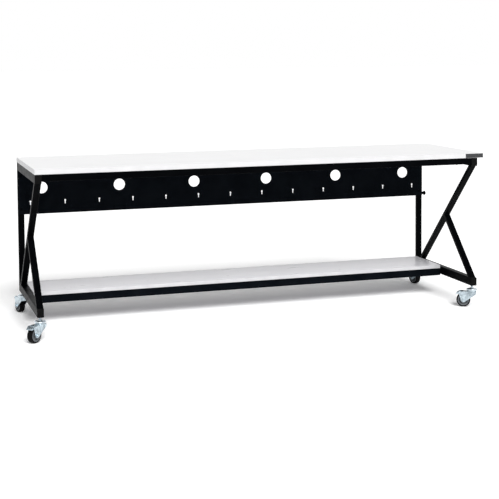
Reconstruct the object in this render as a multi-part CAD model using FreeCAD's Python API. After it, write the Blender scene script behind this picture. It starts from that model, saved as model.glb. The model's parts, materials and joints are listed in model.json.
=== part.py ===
import FreeCAD, Part
import math
import os

# Mobile assembly table. Millimetres, +Z up, X along the length, front towards -Y.
# The origin is on the floor, under the middle of the frame.

# ---------------------------------------------------------------- driving sizes
WORKTOP_LENGTH = 2438.4
WORKTOP_DEPTH = 711.2
WORKTOP_THICKNESS = 25.4
WORKTOP_LEFT_OVERHANG = 2.0
WORKTOP_RIGHT_OVERHANG = 37.4
WORKTOP_FRONT_OVERHANG = 0.5
WORKTOP_REAR_OVERHANG = 0.5
WORKTOP_CORNER = 4.0
EDGE_BAND = 2.0
EDGE_BEVEL = 1.5
NAME_PLATE_LENGTH = 104.0
NAME_PLATE_THICKNESS = 1.0
NAME_PLATE_CORNER = 1.5

FRAME_HEIGHT = 704.0
TUBE_WIDTH = 33.5
RAIL_HEIGHT = 44.5
RAIL_WALL = 2.0
RAIL_CORNER = 3.0
WEB_DEPTH = 20.0
WEB_WALL = 1.6
WEB_CORNER = 2.5
BRACE_SETBACK = 13.0
BRACE_HEEL_GAP = 32.2
END_CAP = 2.0
END_CAP_PLUG = 8.0
END_CAP_SLACK = 0.2

FRONT_RAIL_HEIGHT = 33.5
FRONT_PLATE = 3.0
FRONT_PLATE_REACH = 60.0

PANEL_HEIGHT = 285.5
PANEL_SHEET = 1.5
PANEL_BEND = 2.0
PANEL_FLANGE = 20.0
PANEL_NOTCH_GAP = 0.5
CABLE_HOLE_RADIUS = 31.5
CABLE_HOLE_COUNT = 6
CABLE_HOLE_INSET = 129.3
CABLE_HOLE_RISE = 143.0
KEYHOLE_RADIUS = 4.6
KEYHOLE_COUNT = 13
KEYHOLE_INSET = 67.0
KEYHOLE_RISE = 69.4
KEYHOLE_SLOT = 4.4
KEYHOLE_DROP = 17.0

SHELF_DEPTH = 313.5
SHELF_THICKNESS = 19.05
SHELF_PROUD = 7.6
SHELF_END_CLEARANCE = 0.5
SHELF_REAR_CLEARANCE = 1.0
BEAM_SHEET = 2.5
BEAM_BEND = 2.0
BEAM_FLANGE = 25.0
APRON_HEIGHT = 40.5
APRON_RETURN = 12.0
REAR_BEAM_HEIGHT = 30.0
TAB_HEIGHT = 30.0

PEG_RADIUS = 12.2
PEG_LENGTH = 25.4
PEG_NECK_RADIUS = 8.0
PEG_HEAD = 8.0
PEG_RISE = 12.6
PEG_STUD = 4.0
PEG_STUD_LENGTH = 6.0

HOLE_SLACK = 0.2
PRESS_SLACK = 0.02
RUNNING_CLEARANCE = 0.05

CASTER_HEIGHT = 120.0
CASTER_INSET = 25.4
TRAIL = 45.0
WHEEL_RADIUS = 38.1
TREAD_WIDTH = 31.75
TREAD_SHOULDER = 5.0
TYRE_DEPTH = 11.0
HUB_WIDTH = 33.0
HUB_BOSS_RADIUS = 11.0
HUB_RIM_WIDTH = 28.0
AXLE_RADIUS = 4.0
AXLE_HEAD_RADIUS = 7.5
AXLE_HEAD = 3.0
FORK_SHEET = 2.5
FORK_SIDE_GAP = 1.5
FORK_CROWN_GAP = 8.0
FORK_LEAD = 24.0
FORK_LIP = 12.0
FORK_CROWN_BACK = 46.0
FORK_EYE_RADIUS = 13.0
FORK_BEND = 4.0
RACE_RADIUS = 25.0
RACE_HEIGHT = 6.0
RACE_GAP = 0.3
CUP_RADIUS = 29.0
CUP_HEIGHT = 10.0
CUP_CHAMFER = 3.0
STEM_RADIUS = 6.0
STEM_TIP = 3.0
KINGPIN_HEAD_RADIUS = 9.0
KINGPIN_HEAD = 2.5
WELD_NUT_FLATS = 19.0
WELD_NUT_HEIGHT = 10.0
BRAKE_SHEET = 2.5
BRAKE_SIDE_GAP = 0.5
BRAKE_PIN_RADIUS = 3.0
BRAKE_PIN_BACK = 20.0
BRAKE_PIN_RISE = 42.0
BRAKE_EAR_RADIUS = 5.0
BRAKE_SHOE_RADIUS = 1.5
BRAKE_SHOE_GAP = 0.3
BRAKE_TRAVEL = 20.0
BRAKE_TOE_REACH = 17.0
BRAKE_TOE_DROP = 8.0
BRAKE_TOE_RADIUS = 2.5

# Each caster's trailing direction at rest, in degrees from +X towards +Y.
CASTER_ANGLES = {
    "front_left": 222.0,
    "front_right": 150.0,
    "rear_left": 105.0,
    "rear_right": 105.0,
}

# ------------------------------------------------------------- worked-out places
ORIGIN = FreeCAD.Vector(0, 0, 0)
X_AXIS = FreeCAD.Vector(1, 0, 0)
Y_AXIS = FreeCAD.Vector(0, 1, 0)
Z_AXIS = FreeCAD.Vector(0, 0, 1)
SIDES = {"left": -1, "right": 1}

OUTER_X = (WORKTOP_LENGTH - WORKTOP_LEFT_OVERHANG - WORKTOP_RIGHT_OVERHANG) / 2
WORKTOP_LEFT_X = -OUTER_X - WORKTOP_LEFT_OVERHANG
WORKTOP_RIGHT_X = OUTER_X + WORKTOP_RIGHT_OVERHANG
INNER_X = OUTER_X - TUBE_WIDTH
TUBE_X = OUTER_X - TUBE_WIDTH / 2
FRAME_DEPTH = WORKTOP_DEPTH - WORKTOP_FRONT_OVERHANG - WORKTOP_REAR_OVERHANG
FRONT_Y = -FRAME_DEPTH / 2
BACK_Y = FRAME_DEPTH / 2
WORKTOP_FRONT_Y = FRONT_Y - WORKTOP_FRONT_OVERHANG
WORKTOP_BACK_Y = BACK_Y + WORKTOP_REAR_OVERHANG
POST_FRONT_Y = BACK_Y - WEB_DEPTH
POST_MID_Y = BACK_Y - WEB_DEPTH / 2
RAIL_Z = CASTER_HEIGHT
RAIL_TOP_Z = RAIL_Z + RAIL_HEIGHT
FRAME_TOP_Z = RAIL_Z + FRAME_HEIGHT
TOP_RAIL_Z = FRAME_TOP_Z - RAIL_HEIGHT

PANEL_Z = FRAME_TOP_Z - PANEL_HEIGHT
PANEL_FRONT_Y = POST_FRONT_Y - PANEL_SHEET

SHELF_TOP_Z = RAIL_TOP_Z + SHELF_PROUD
SHELF_Z = SHELF_TOP_Z - SHELF_THICKNESS
SHELF_BACK_Y = POST_FRONT_Y - SHELF_REAR_CLEARANCE
SHELF_FRONT_Y = SHELF_BACK_Y - SHELF_DEPTH
LEDGE_FRONT_Y = SHELF_FRONT_Y + BEAM_FLANGE
LEDGE_BACK_Y = SHELF_BACK_Y - BEAM_FLANGE
TAB_Z = SHELF_Z - TAB_HEIGHT

HUB_RADIUS = WHEEL_RADIUS - TYRE_DEPTH
FORK_INSIDE = HUB_WIDTH + 2 * FORK_SIDE_GAP
FORK_OUTSIDE = FORK_INSIDE + 2 * FORK_SHEET
CROWN_Z = 2 * WHEEL_RADIUS + FORK_CROWN_GAP
CROWN_TOP_Z = CROWN_Z + FORK_SHEET
CUP_Z = CROWN_TOP_Z + RACE_HEIGHT + RACE_GAP
CUP_TOP_Z = CUP_Z + CUP_HEIGHT
BRAKE_PIN_X = TRAIL + BRAKE_PIN_BACK
BRAKE_PIN_Z = WHEEL_RADIUS + BRAKE_PIN_RISE


# ---------------------------------------------------------------- shape helpers
def block(x0, x1, y0, y1, z0, z1):
    """A box between two corners, given in either order."""
    low = FreeCAD.Vector(min(x0, x1), min(y0, y1), min(z0, z1))
    return Part.makeBox(abs(x1 - x0), abs(y1 - y0), abs(z1 - z0), low)


def rod(radius, start, direction, length):
    """A round rod from a point along a direction."""
    return Part.makeCylinder(radius, length, FreeCAD.Vector(*start), direction)


def edges_along(shape, axis):
    """The edges of a shape whose two ends lie along an axis from each other."""
    found = []
    for edge in shape.Edges:
        run = edge.Vertexes[-1].Point.sub(edge.Vertexes[0].Point)
        if run.Length > 0 and run.cross(axis).Length < 1e-6 * run.Length:
            found.append(edge)
    return found


def edges_at_front(shape, y):
    """The edges along X that lie at a given Y."""
    return [edge for edge in edges_along(shape, X_AXIS) if abs(edge.Vertexes[0].Point.y - y) < 1e-6]


def bar(width, depth, length, corner):
    """A bar along +Z, centred on the axis, with rounded long corners."""
    plain = block(-width / 2, width / 2, -depth / 2, depth / 2, 0, length)
    return plain.makeFillet(corner, edges_along(plain, Z_AXIS))


def tube(width, depth, length, wall, corner):
    """A rectangular tube along +Z, centred on the axis, with rounded outer corners."""
    half_width = width / 2 - wall
    half_depth = depth / 2 - wall
    hollow = block(-half_width, half_width, -half_depth, half_depth, 0, length)
    return bar(width, depth, length, corner).cut(hollow)


def revolved(points):
    """A solid turned about Z from (radius, height) points."""
    outline = [FreeCAD.Vector(radius, 0, height) for radius, height in points]
    outline.append(outline[0])
    return Part.Face(Part.makePolygon(outline)).revolve(ORIGIN, Z_AXIS, 360)


def hexagon(flats, height):
    """A hexagonal prism about Z with two flats facing along X."""
    reach = flats / 2 / math.cos(math.pi / 6)
    turns = [math.pi / 6 + step * math.pi / 3 for step in range(7)]
    corners = [FreeCAD.Vector(reach * math.cos(turn), reach * math.sin(turn), 0) for turn in turns]
    return Part.Face(Part.makePolygon(corners)).extrude(Z_AXIS * height)


def belt(circles, y, depth):
    """A plate with the outline of a belt pulled round circles, extruded along +Y.

    The circles are (x, z, radius), anticlockwise seen from the front; radius 0 is a corner.
    """
    spans = []
    for step, (x0, z0, r0) in enumerate(circles):
        x1, z1, r1 = circles[(step + 1) % len(circles)]
        heading = math.atan2(z1 - z0, x1 - x0)
        normal = heading - math.acos((r0 - r1) / math.hypot(x1 - x0, z1 - z0))
        leave = FreeCAD.Vector(x0 + r0 * math.cos(normal), y, z0 + r0 * math.sin(normal))
        arrive = FreeCAD.Vector(x1 + r1 * math.cos(normal), y, z1 + r1 * math.sin(normal))
        spans.append((leave, arrive, normal))
    edges = []
    for step, (leave, arrive, normal) in enumerate(spans):
        edges.append(Part.LineSegment(leave, arrive).toShape())
        following = spans[(step + 1) % len(spans)]
        x, z, radius = circles[(step + 1) % len(circles)]
        if radius > 0:
            halfway = normal + (following[2] - normal) % (2 * math.pi) / 2
            middle = FreeCAD.Vector(x + radius * math.cos(halfway), y, z + radius * math.sin(halfway))
            edges.append(Part.Arc(arrive, middle, following[0]).toShape())
    return Part.Face(Part.Wire(edges)).extrude(Y_AXIS * depth)


def spread(count, inset):
    """Evenly spaced places along the frame, the first and last an inset from its ends."""
    pitch = 2 * (OUTER_X - inset) / (count - 1)
    return [inset - OUTER_X + step * pitch for step in range(count)]


# ----------------------------------------------------------------------- worktop
def worktop():
    """The laminated board, and the band with bevelled rims that wraps its four edges."""
    top = FRAME_TOP_Z + WORKTOP_THICKNESS
    outside = block(WORKTOP_LEFT_X, WORKTOP_RIGHT_X, WORKTOP_FRONT_Y, WORKTOP_BACK_Y, FRAME_TOP_Z, top)
    outside = outside.makeFillet(WORKTOP_CORNER, edges_along(outside, Z_AXIS))
    upright = edges_along(outside, Z_AXIS)
    rims = [edge for edge in outside.Edges if not any(edge.isSame(other) for other in upright)]
    outside = outside.makeChamfer(EDGE_BEVEL, rims)
    left = WORKTOP_LEFT_X + EDGE_BAND
    right = WORKTOP_RIGHT_X - EDGE_BAND
    front = WORKTOP_FRONT_Y + EDGE_BAND
    back = WORKTOP_BACK_Y - EDGE_BAND
    core = block(left, right, front, back, FRAME_TOP_Z, top)
    core = core.makeFillet(WORKTOP_CORNER - EDGE_BAND, edges_along(core, Z_AXIS))
    return core, outside.cut(core)


def name_plate():
    """A blank plate on the flat of the front edge, at the worktop's right end."""
    right = WORKTOP_RIGHT_X - WORKTOP_CORNER
    front = WORKTOP_FRONT_Y
    low = FRAME_TOP_Z + EDGE_BEVEL
    high = FRAME_TOP_Z + WORKTOP_THICKNESS - EDGE_BEVEL
    plate = block(right - NAME_PLATE_LENGTH, right, front - NAME_PLATE_THICKNESS, front, low, high)
    return plate.makeFillet(NAME_PLATE_CORNER, edges_along(plate, Y_AXIS))


# -------------------------------------------------------------------- end frames
def rail(x, z):
    """A depth rail of an end frame, short of the frame's depth by its two end caps."""
    shape = tube(TUBE_WIDTH, RAIL_HEIGHT, FRAME_DEPTH - 2 * END_CAP, RAIL_WALL, RAIL_CORNER)
    shape.rotate(ORIGIN, X_AXIS, -90)
    shape.translate(FreeCAD.Vector(x, FRONT_Y + END_CAP, z + RAIL_HEIGHT / 2))
    return shape


def end_cap(x, y, z, turn):
    """A plastic cap: a flange over the rail's end and a plug inside it."""
    inset = 2 * (RAIL_WALL + END_CAP_SLACK)
    half_width = (TUBE_WIDTH - inset) / 2
    half_height = (RAIL_HEIGHT - inset) / 2
    plug = block(-half_width, half_width, -half_height, half_height, 0, END_CAP + END_CAP_PLUG)
    cap = bar(TUBE_WIDTH, RAIL_HEIGHT, END_CAP, RAIL_CORNER).fuse(plug)
    cap.rotate(ORIGIN, X_AXIS, -90)
    cap.rotate(ORIGIN, Z_AXIS, turn)
    cap.translate(FreeCAD.Vector(x, y, z + RAIL_HEIGHT / 2))
    return cap


def braces(x):
    """The long brace, and the short one that is mitred against its front face.

    The long brace starts BRACE_SETBACK behind the frame's front, under the top rail,
    and its heel stands BRACE_HEEL_GAP in front of the post, on the bottom rail.
    """
    rise = TOP_RAIL_Z - RAIL_TOP_Z
    tip_y = FRONT_Y + BRACE_SETBACK
    run = POST_FRONT_Y - BRACE_HEEL_GAP - tip_y
    slope = math.atan2(rise, run) + math.asin(WEB_DEPTH / math.hypot(rise, run))
    lean = 90 - math.degrees(slope)
    middle = FreeCAD.Vector(x, tip_y + run / 2, RAIL_TOP_Z + rise / 2)
    reach = 2 * rise / math.sin(slope)
    long_brace = tube(TUBE_WIDTH, WEB_DEPTH, reach, WEB_WALL, WEB_CORNER)
    long_brace.translate(Z_AXIS * (-reach / 2))
    short_brace = long_brace.copy()
    mitre = block(-TUBE_WIDTH, TUBE_WIDTH, -reach, -WEB_DEPTH / 2, -reach, reach)
    for shape, turn in ((long_brace, lean), (short_brace, -lean), (mitre, lean)):
        shape.rotate(ORIGIN, X_AXIS, turn)
        shape.translate(middle)
    between = block(x - TUBE_WIDTH, x + TUBE_WIDTH, FRONT_Y, BACK_Y, RAIL_TOP_Z, TOP_RAIL_Z)
    return long_brace.common(between), short_brace.common(between).common(mitre)


def end_frame(name, side):
    """One welded K frame: two rails, the rear post, two braces and four end caps."""
    x = side * TUBE_X
    bottom = rail(x, RAIL_Z)
    for y in (FRONT_Y + CASTER_INSET, BACK_Y - CASTER_INSET):
        bottom = bottom.cut(rod(STEM_RADIUS + HOLE_SLACK, (x, y, RAIL_Z), Z_AXIS, 2 * RAIL_WALL))
    post = tube(TUBE_WIDTH, WEB_DEPTH, TOP_RAIL_Z - RAIL_TOP_Z, WEB_WALL, WEB_CORNER)
    post.translate(FreeCAD.Vector(x, POST_MID_Y, RAIL_TOP_Z))
    if name == "right":
        start = (OUTER_X, POST_MID_Y, PANEL_Z + PEG_RISE)
        post = post.cut(rod(PEG_STUD + PRESS_SLACK, start, X_AXIS * -1, PEG_STUD_LENGTH))
    long_brace, short_brace = braces(x)
    caps = []
    for z in (RAIL_Z, TOP_RAIL_Z):
        caps.append(end_cap(x, FRONT_Y, z, 0))
        caps.append(end_cap(x, BACK_Y, z, 180))
    return {
        name + "_top_rail": rail(x, TOP_RAIL_Z),
        name + "_bottom_rail": bottom,
        name + "_rear_post": post,
        name + "_long_brace": long_brace,
        name + "_short_brace": short_brace,
        name + "_rail_end_caps": Part.makeCompound(caps),
    }


def post_peg():
    """The round peg on the right post's outer side, with a waisted neck and a stud."""
    slope = PEG_RADIUS - PEG_NECK_RADIUS
    peg = revolved([
        (0, -PEG_STUD_LENGTH), (PEG_STUD, -PEG_STUD_LENGTH), (PEG_STUD, 0),
        (PEG_RADIUS, 0), (PEG_NECK_RADIUS, slope),
        (PEG_NECK_RADIUS, PEG_LENGTH - PEG_HEAD - slope), (PEG_RADIUS, PEG_LENGTH - PEG_HEAD),
        (PEG_RADIUS, PEG_LENGTH - slope / 2), (PEG_RADIUS - slope / 2, PEG_LENGTH), (0, PEG_LENGTH),
    ])
    peg.rotate(ORIGIN, Y_AXIS, 90)
    peg.translate(FreeCAD.Vector(OUTER_X, POST_MID_Y, PANEL_Z + PEG_RISE))
    return peg


# -------------------------------------------------------------------- front rail
def front_rail():
    """The rail under the worktop's front edge, between its two end plates."""
    length = 2 * (INNER_X - FRONT_PLATE)
    shape = tube(FRONT_RAIL_HEIGHT, WEB_DEPTH, length, WEB_WALL, WEB_CORNER)
    shape.rotate(ORIGIN, Y_AXIS, 90)
    middle_z = FRAME_TOP_Z - FRONT_RAIL_HEIGHT / 2
    shape.translate(FreeCAD.Vector(-length / 2, FRONT_Y + WEB_DEPTH / 2, middle_z))
    return shape


def front_rail_plate(side):
    """The plate welded to the rail's end and bolted to the side of a top rail."""
    low = FRAME_TOP_Z - FRONT_RAIL_HEIGHT
    inner = side * (INNER_X - FRONT_PLATE)
    return block(inner, side * INNER_X, FRONT_Y, FRONT_Y + FRONT_PLATE_REACH, low, FRAME_TOP_Z)


# -------------------------------------------------------------------- rear panel
def keyhole(x, z):
    """The cutter for one keyhole: a round hole over a narrow slot with a round foot."""
    start_y = PANEL_FRONT_Y - PANEL_SHEET
    depth = 3 * PANEL_SHEET
    half = KEYHOLE_SLOT / 2
    head = rod(KEYHOLE_RADIUS, (x, start_y, z), Y_AXIS, depth)
    slot = block(x - half, x + half, start_y, start_y + depth, z - KEYHOLE_DROP, z)
    foot = rod(half, (x, start_y, z - KEYHOLE_DROP), Y_AXIS, depth)
    return head.fuse([slot, foot])


def rear_panel():
    """A folded sheet between the rails, with an ear lapped over the front of each post."""
    end = INNER_X - PANEL_NOTCH_GAP
    back = PANEL_FRONT_Y + PANEL_FLANGE
    outside = block(-end, end, PANEL_FRONT_Y, back, PANEL_Z, FRAME_TOP_Z)
    outside = outside.makeFillet(PANEL_BEND, edges_at_front(outside, PANEL_FRONT_Y))
    low = PANEL_Z + PANEL_SHEET
    high = FRAME_TOP_Z - PANEL_SHEET
    inside = block(-end, end, POST_FRONT_Y, back, low, high)
    inside = inside.makeFillet(PANEL_BEND - PANEL_SHEET, edges_at_front(inside, POST_FRONT_Y))
    panel = outside.cut(inside)
    ear_low = PANEL_Z + PANEL_BEND
    ear_high = TOP_RAIL_Z - PANEL_NOTCH_GAP
    for side in SIDES.values():
        panel = panel.fuse(block(side * end, side * OUTER_X, PANEL_FRONT_Y, POST_FRONT_Y, ear_low, ear_high))
    cutters = []
    for x in spread(CABLE_HOLE_COUNT, CABLE_HOLE_INSET):
        start = (x, PANEL_FRONT_Y - PANEL_SHEET, PANEL_Z + CABLE_HOLE_RISE)
        cutters.append(rod(CABLE_HOLE_RADIUS, start, Y_AXIS, 3 * PANEL_SHEET))
    for x in spread(KEYHOLE_COUNT, KEYHOLE_INSET):
        cutters.append(keyhole(x, PANEL_Z + KEYHOLE_RISE))
    return panel.removeSplitter().cut(cutters)


# ------------------------------------------------------------------- lower shelf
def shelf_board():
    """The shelf board and the band on its front edge."""
    end = INNER_X - SHELF_END_CLEARANCE
    seam = SHELF_FRONT_Y + EDGE_BAND
    band = block(-end, end, SHELF_FRONT_Y, seam, SHELF_Z, SHELF_TOP_Z)
    band = band.makeFillet(EDGE_BEVEL, edges_at_front(band, SHELF_FRONT_Y))
    return block(-end, end, seam, SHELF_BACK_Y, SHELF_Z, SHELF_TOP_Z), band


def folded_beam(web_y, inwards, height, lip):
    """A beam folded from sheet: a web, a top flange, a lower lip and two bolting tabs.

    inwards is 1 where the flange runs back from the web, and -1 where it runs forward.
    """
    low = SHELF_Z - height
    web_back = web_y + inwards * BEAM_SHEET
    flange_back = web_y + inwards * BEAM_FLANGE
    beam = block(-INNER_X, INNER_X, web_y, web_back, low, SHELF_Z)
    pieces = [block(-INNER_X, INNER_X, web_y, flange_back, SHELF_Z - BEAM_SHEET, SHELF_Z)]
    if lip > 0:
        pieces.append(block(-INNER_X, INNER_X, web_y, web_y + inwards * lip, low, low + BEAM_SHEET))
    for side in SIDES.values():
        inner = side * (INNER_X - BEAM_SHEET)
        pieces.append(block(side * INNER_X, inner, web_y, flange_back, TAB_Z, SHELF_Z))
    beam = beam.fuse(pieces).removeSplitter()
    fold_heights = [SHELF_Z, low] if lip > 0 else [SHELF_Z]
    folds = []
    for edge in edges_at_front(beam, web_y):
        if min(abs(edge.Vertexes[0].Point.z - height) for height in fold_heights) < 1e-6:
            folds.append(edge)
    return beam.makeFillet(BEAM_BEND, folds)


def shelf_ledge(side):
    """The angle on a bottom rail's inner face that carries one end of the board."""
    outer = side * INNER_X
    upright = block(outer, side * (INNER_X - BEAM_SHEET), LEDGE_FRONT_Y, LEDGE_BACK_Y, TAB_Z, SHELF_Z)
    inner = side * (INNER_X - BEAM_FLANGE)
    flange = block(outer, inner, LEDGE_FRONT_Y, LEDGE_BACK_Y, SHELF_Z - BEAM_SHEET, SHELF_Z)
    return upright.fuse(flange).removeSplitter()


# ----------------------------------------------------------------------- casters
def caster_places():
    """Each caster's name with the place of its stem in plan."""
    places = {}
    for end, y in (("front", FRONT_Y + CASTER_INSET), ("rear", BACK_Y - CASTER_INSET)):
        for name, side in SIDES.items():
            places[end + "_" + name] = (side * TUBE_X, y)
    return places


def weld_nuts():
    """The nuts inside the bottom rails that the stems screw into."""
    nuts = []
    for x, y in caster_places().values():
        bore = rod(STEM_RADIUS + PRESS_SLACK, (0, 0, 0), Z_AXIS, WELD_NUT_HEIGHT)
        nut = hexagon(WELD_NUT_FLATS, WELD_NUT_HEIGHT).cut(bore)
        nut.translate(FreeCAD.Vector(x, y, RAIL_Z + RAIL_WALL))
        nuts.append(nut)
    return Part.makeCompound(nuts)


def caster_stem():
    """The stem: a kingpin head under the crown, a bearing cup above it, then the thread."""
    top = RAIL_Z + RAIL_WALL + WELD_NUT_HEIGHT + STEM_TIP
    head_top = CROWN_Z - RACE_GAP
    head_low = head_top - KINGPIN_HEAD
    return revolved([
        (0, head_low), (KINGPIN_HEAD_RADIUS, head_low), (KINGPIN_HEAD_RADIUS, head_top),
        (STEM_RADIUS, head_top), (STEM_RADIUS, CUP_Z), (CUP_RADIUS, CUP_Z),
        (CUP_RADIUS, CUP_TOP_Z - CUP_CHAMFER), (CUP_RADIUS - CUP_CHAMFER, CUP_TOP_Z),
        (STEM_RADIUS, CUP_TOP_Z), (STEM_RADIUS, top), (0, top),
    ])


def caster_fork():
    """The pressed fork: two legs and a front lip under one crown, with the lower race on top.

    The crown stops short of the brake, whose pin crosses between the legs behind it.
    """
    outline = [
        (-FORK_LEAD, CROWN_TOP_Z, 0),
        (-FORK_LEAD, CROWN_Z - FORK_LIP, 0),
        (TRAIL, WHEEL_RADIUS, FORK_EYE_RADIUS),
        (BRAKE_PIN_X, BRAKE_PIN_Z, CROWN_TOP_Z - BRAKE_PIN_Z),
    ]
    half = FORK_OUTSIDE / 2
    inner = FORK_INSIDE / 2
    far = FORK_LEAD + 2 * BRAKE_PIN_X
    fork = belt(outline, -half, FORK_OUTSIDE)
    envelope = block(-far, far, -half, half, -CROWN_TOP_Z, CROWN_TOP_Z)
    envelope = envelope.makeFillet(FORK_BEND, edges_along(envelope, X_AXIS))
    race = rod(RACE_RADIUS, (0, 0, CROWN_Z), Z_AXIS, FORK_SHEET + RACE_HEIGHT)
    fork = fork.common(envelope).fuse(race)
    return fork.cut([
        block(FORK_SHEET - FORK_LEAD, far, -inner, inner, 0, CROWN_Z),
        block(FORK_CROWN_BACK, far, -inner, inner, 0, CROWN_TOP_Z),
        rod(STEM_RADIUS + RUNNING_CLEARANCE, (0, 0, 0), Z_AXIS, CASTER_HEIGHT),
        rod(AXLE_RADIUS + PRESS_SLACK, (TRAIL, -half, WHEEL_RADIUS), Y_AXIS, FORK_OUTSIDE),
        rod(BRAKE_PIN_RADIUS + RUNNING_CLEARANCE, (BRAKE_PIN_X, -half, BRAKE_PIN_Z), Y_AXIS, FORK_OUTSIDE),
    ])


def on_axle(shape):
    """Turns a shape made about +Z onto the axle's line."""
    shape.rotate(ORIGIN, X_AXIS, -90)
    shape.translate(FreeCAD.Vector(TRAIL, 0, WHEEL_RADIUS))
    return shape


def caster_axle():
    """The axle, with a head outside each leg of the fork."""
    half = FORK_OUTSIDE / 2
    end = half + AXLE_HEAD
    return on_axle(revolved([
        (0, -end), (AXLE_HEAD_RADIUS, -end), (AXLE_HEAD_RADIUS, -half), (AXLE_RADIUS, -half),
        (AXLE_RADIUS, half), (AXLE_HEAD_RADIUS, half), (AXLE_HEAD_RADIUS, end), (0, end),
    ]))


def caster_hub():
    """The wheel's centre: a boss, cheeks that taper towards the rim, and a running bore."""
    bore = AXLE_RADIUS + RUNNING_CLEARANCE
    boss = HUB_WIDTH / 2
    edge = HUB_RIM_WIDTH / 2
    return on_axle(revolved([
        (bore, -boss), (HUB_BOSS_RADIUS, -boss), (HUB_RADIUS, -edge),
        (HUB_RADIUS, edge), (HUB_BOSS_RADIUS, boss), (bore, boss),
    ]))


def caster_tyre():
    """The rubber tyre, with a flat tread and bevelled shoulders."""
    seat = HUB_RADIUS + PRESS_SLACK
    half = TREAD_WIDTH / 2
    shoulder = WHEEL_RADIUS - TREAD_SHOULDER
    tread = half - TREAD_SHOULDER
    return on_axle(revolved([
        (seat, -half), (shoulder, -half), (WHEEL_RADIUS, -tread),
        (WHEEL_RADIUS, tread), (shoulder, half), (seat, half),
    ]))


def caster_brake():
    """The brake pedal: a pressed channel on a pin, with a shoe that swings onto the tyre.

    BRAKE_TRAVEL turns the shoe to point at the wheel's centre, BRAKE_SHOE_GAP off the tread.
    """
    reach = math.hypot(BRAKE_PIN_BACK, BRAKE_PIN_RISE) - WHEEL_RADIUS - BRAKE_SHOE_GAP - BRAKE_SHOE_RADIUS
    shoe = math.atan2(-BRAKE_PIN_RISE, -BRAKE_PIN_BACK) + math.radians(BRAKE_TRAVEL)
    outline = [
        (BRAKE_PIN_X + reach * math.cos(shoe), BRAKE_PIN_Z + reach * math.sin(shoe), BRAKE_SHOE_RADIUS),
        (BRAKE_PIN_X + BRAKE_TOE_REACH, BRAKE_PIN_Z - BRAKE_TOE_DROP, BRAKE_TOE_RADIUS),
        (BRAKE_PIN_X, BRAKE_PIN_Z, BRAKE_EAR_RADIUS),
    ]
    half = FORK_INSIDE / 2 - BRAKE_SIDE_GAP
    inner = half - BRAKE_SHEET
    pedal = belt(outline, -half, 2 * half)
    hollow = belt(outline, -inner, 2 * inner)
    hollow.translate(Z_AXIS * -BRAKE_SHEET)
    pin = rod(BRAKE_PIN_RADIUS, (BRAKE_PIN_X, -FORK_OUTSIDE / 2, BRAKE_PIN_Z), Y_AXIS, FORK_OUTSIDE)
    return pedal.cut(hollow).fuse(pin)


def casters():
    """Four casters, each turned to its own angle under its end of a bottom rail."""
    pieces = {
        "stem": caster_stem(),
        "fork": caster_fork(),
        "axle": caster_axle(),
        "hub": caster_hub(),
        "tyre": caster_tyre(),
        "brake": caster_brake(),
    }
    nodes = {}
    for name, (x, y) in caster_places().items():
        for piece, original in pieces.items():
            shape = original.copy()
            shape.rotate(ORIGIN, Z_AXIS, CASTER_ANGLES[name])
            shape.translate(FreeCAD.Vector(x, y, 0))
            nodes[name + "_caster_" + piece] = shape
    return nodes


# --------------------------------------------------------------------- the table
def table():
    """Every node by name."""
    nodes = {}
    nodes["worktop_board"], nodes["worktop_edge_band"] = worktop()
    nodes["name_plate"] = name_plate()
    for name, side in SIDES.items():
        nodes.update(end_frame(name, side))
        nodes["front_rail_" + name + "_plate"] = front_rail_plate(side)
        nodes[name + "_shelf_ledge"] = shelf_ledge(side)
    nodes["post_peg"] = post_peg()
    nodes["front_rail"] = front_rail()
    nodes["rear_panel"] = rear_panel()
    nodes["shelf_board"], nodes["shelf_edge_band"] = shelf_board()
    nodes["shelf_apron"] = folded_beam(SHELF_FRONT_Y, 1, APRON_HEIGHT, APRON_RETURN)
    nodes["shelf_rear_beam"] = folded_beam(SHELF_BACK_Y, -1, REAR_BEAM_HEIGHT, 0)
    nodes["caster_weld_nuts"] = weld_nuts()
    nodes.update(casters())
    return nodes


os.makedirs("parts", exist_ok=True)
for node, shape in table().items():
    shape.exportStep("parts/" + node + ".step")
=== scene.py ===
import json
import math

import bmesh
import bpy
from mathutils import Matrix, Vector


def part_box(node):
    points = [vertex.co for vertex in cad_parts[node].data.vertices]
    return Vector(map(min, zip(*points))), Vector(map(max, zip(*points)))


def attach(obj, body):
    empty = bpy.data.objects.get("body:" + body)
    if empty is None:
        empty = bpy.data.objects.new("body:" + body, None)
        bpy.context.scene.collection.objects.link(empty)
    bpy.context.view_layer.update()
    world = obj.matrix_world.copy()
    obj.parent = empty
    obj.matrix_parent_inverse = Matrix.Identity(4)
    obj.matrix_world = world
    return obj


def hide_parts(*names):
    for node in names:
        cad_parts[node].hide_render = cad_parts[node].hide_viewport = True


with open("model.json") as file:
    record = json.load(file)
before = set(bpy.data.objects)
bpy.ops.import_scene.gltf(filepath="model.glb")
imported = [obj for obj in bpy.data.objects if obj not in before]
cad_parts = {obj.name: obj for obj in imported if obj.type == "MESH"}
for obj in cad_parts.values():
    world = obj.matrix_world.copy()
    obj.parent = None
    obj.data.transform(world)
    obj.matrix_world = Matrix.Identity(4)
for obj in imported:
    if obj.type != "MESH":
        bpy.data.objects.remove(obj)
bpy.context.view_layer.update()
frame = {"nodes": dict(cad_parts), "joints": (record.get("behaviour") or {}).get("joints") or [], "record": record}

# Looks for the mobile assembly table. +Z up, +X along the length, front towards -Y.
# Pieces are built in millimetres and scaled once, in Form.done. Camera, lamp and floor are in metres.
NODES = frame["nodes"]
JOINTS = {joint["name"]: joint for joint in frame["joints"]}
CASTERS = ("front_left", "front_right", "rear_left", "rear_right")
SIDES = {"left": -1, "right": 1}
MM = 0.001
X, Y, Z = Vector((1, 0, 0)), Vector((0, 1, 0)), Vector((0, 0, 1))


# ---------------------------------------------------------------------- node trees
BEVEL_SAMPLES = 6


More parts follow.
